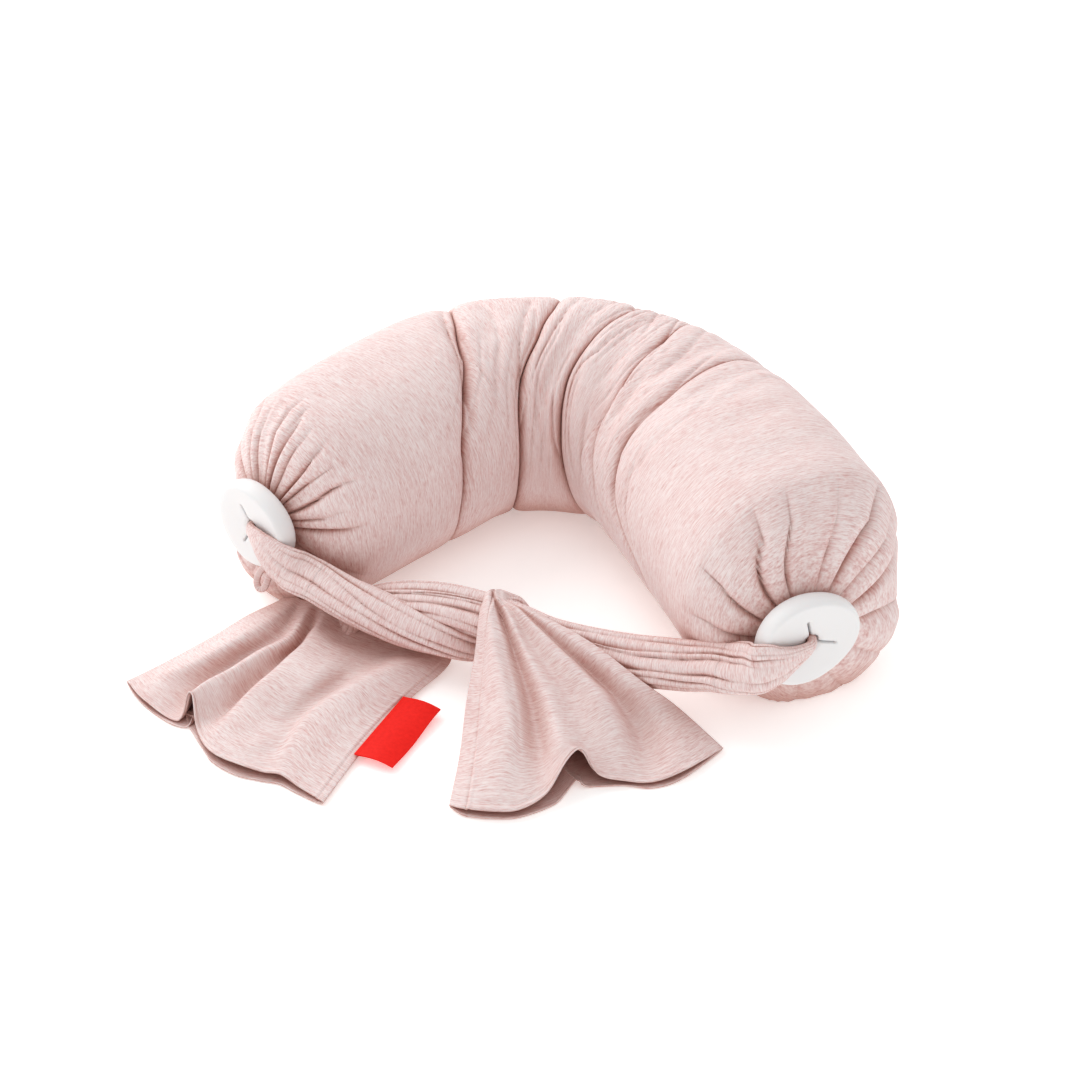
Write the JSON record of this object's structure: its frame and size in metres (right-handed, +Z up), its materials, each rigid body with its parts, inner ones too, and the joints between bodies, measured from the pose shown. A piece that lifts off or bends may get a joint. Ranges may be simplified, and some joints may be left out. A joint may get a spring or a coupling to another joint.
{
  "type": "nursing pillow",
  "caption": "C-shaped bead-filled nursing pillow in a pale pink jersey sleeve, its ends drawn through silicone discs and tied in front, with flared tails and a red side tag.",
  "frame": {"origin": "on the floor under the middle of the curved back's centre line", "axes": "+X to the right seen from the open side, +Y towards the closed back, +Z up"},
  "size_m": [0.5962, 0.5876, 0.1932],
  "materials": {
    "jersey": "heathered cotton jersey, pale pink",
    "liner": "plain woven cotton",
    "fill": "expanded polystyrene beads",
    "silicone": "moulded silicone, satin",
    "tag": "woven ribbon, red",
    "zip_tape": "woven tape",
    "zip_nylon": "nylon coil",
    "zip_metal": "tumbled zinc"
  },
  "bodies": {
    "centre": {"cover_back": "jersey", "liner_back": "liner", "fill_back": "fill", "cover_left_bend": "jersey", "liner_left_bend": "liner", "fill_left_bend": "fill", "cover_right_bend": "jersey", "liner_right_bend": "liner", "fill_right_bend": "fill", "tie_knot": "jersey"},
    "left_arm": {"cover_left_arm": "jersey", "liner_left_arm": "liner", "fill_left_arm": "fill", "tie_strand_left": "jersey"},
    "right_arm": {"cover_right_arm": "jersey", "liner_right_arm": "liner", "fill_right_arm": "fill", "tie_strand_right": "jersey", "zip_tape_upper": "zip_tape", "zip_tape_lower": "zip_tape", "zip_teeth_upper": "zip_nylon", "zip_teeth_lower": "zip_nylon", "zip_stop_top": "zip_metal", "zip_stop_bottom": "zip_metal"},
    "left_pebble": {"pebble_left": "silicone"},
    "right_pebble": {"pebble_right": "silicone"},
    "left_tail": {"tail_end_left": "jersey"},
    "right_tail": {"tail_end_right": "jersey"},
    "tag": {"side_tag": "tag"},
    "slider": {"zip_slider": "zip_metal"}
  },
  "joints": [
    {"name": "left_arm_bend", "type": "hinge", "parent": "centre", "child": "left_arm", "pos_m": [-0.11567, -0.0695, 0.09], "axis": [0, 0, 1], "range_deg": [-6, 10], "deforming": ["cover_left_bend", "liner_left_bend", "fill_left_bend", "tie_strand_left"]},
    {"name": "right_arm_bend", "type": "hinge", "parent": "centre", "child": "right_arm", "pos_m": [0.10731, -0.05586, 0.09], "axis": [0, 0, -1], "range_deg": [-6, 10], "deforming": ["cover_right_bend", "liner_right_bend", "fill_right_bend", "tie_strand_right"]},
    {"name": "left_pebble_slide", "type": "slide", "parent": "left_arm", "child": "left_pebble", "axis": [-0.4695, -0.8829, 0], "range_m": [0, 0.022]},
    {"name": "right_pebble_slide", "type": "slide", "parent": "right_arm", "child": "right_pebble", "axis": [0.5736, -0.8191, 0], "range_m": [0, 0.022]},
    {"name": "left_tail_lift", "type": "hinge", "parent": "centre", "child": "left_tail", "pos_m": [-0.11, -0.3335, 0.033], "axis": [-1, 0, 0], "range_deg": [0, 50]},
    {"name": "right_tail_lift", "type": "hinge", "parent": "centre", "child": "right_tail", "pos_m": [0.02, -0.339, 0.064], "axis": [-1, 0, 0], "range_deg": [0, 50]},
    {"name": "tag_flap", "type": "hinge", "parent": "left_tail", "child": "tag", "pos_m": [-0.0525, -0.362, 0.008], "axis": [0.1811, 0.9831, 0.0259], "range_deg": [0, 80]},
    {"name": "zip_slide", "type": "slide", "parent": "right_arm", "child": "slider", "axis": [0.5736, -0.8191, 0], "range_m": [0, 0.119]}
  ]
}
